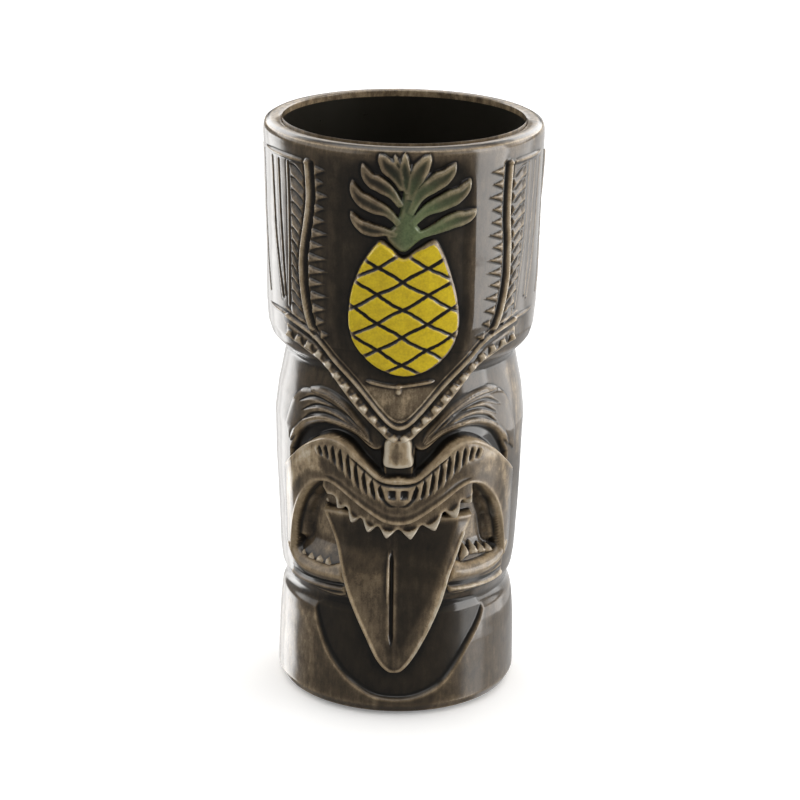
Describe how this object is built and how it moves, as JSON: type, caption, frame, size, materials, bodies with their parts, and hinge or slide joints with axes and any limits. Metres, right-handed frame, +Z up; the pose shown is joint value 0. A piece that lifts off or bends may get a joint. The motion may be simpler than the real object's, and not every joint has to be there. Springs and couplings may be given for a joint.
{
  "type": "tiki mug",
  "caption": "Tall hollow glazed mug moulded as a carved mask with a long tongue, a pineapple on the headdress, and an open round top for a drink.",
  "frame": {"origin": "centre of the flat foot", "axes": "+Z up, the mug's own axis; the face looks towards -Y; +X to the viewer's right"},
  "size_m": [0.0802, 0.0817, 0.1705],
  "materials": {
    "brown_glaze": "glossy dark brown glaze that thins to tan on ridges and pools near black in grooves",
    "tan_glaze": "the same glaze where it has run thin, a glossy tan",
    "yellow_glaze": "glossy bright yellow enamel under a clear glaze, darker in the grooves",
    "green_glaze": "glossy dull green enamel that breaks to brown on the leaf edges"
  },
  "bodies": {
    "root": {"mug_body": "brown_glaze", "chevron_band": "brown_glaze", "pineapple_fruit": "yellow_glaze", "pineapple_crown": "green_glaze", "nose": "tan_glaze", "upper_lip": "brown_glaze", "upper_teeth": "brown_glaze", "tongue": "brown_glaze", "lower_lip_left": "brown_glaze", "lower_lip_right": "brown_glaze", "lower_teeth_left": "brown_glaze", "lower_teeth_right": "brown_glaze"}
  },
  "joints": []
}
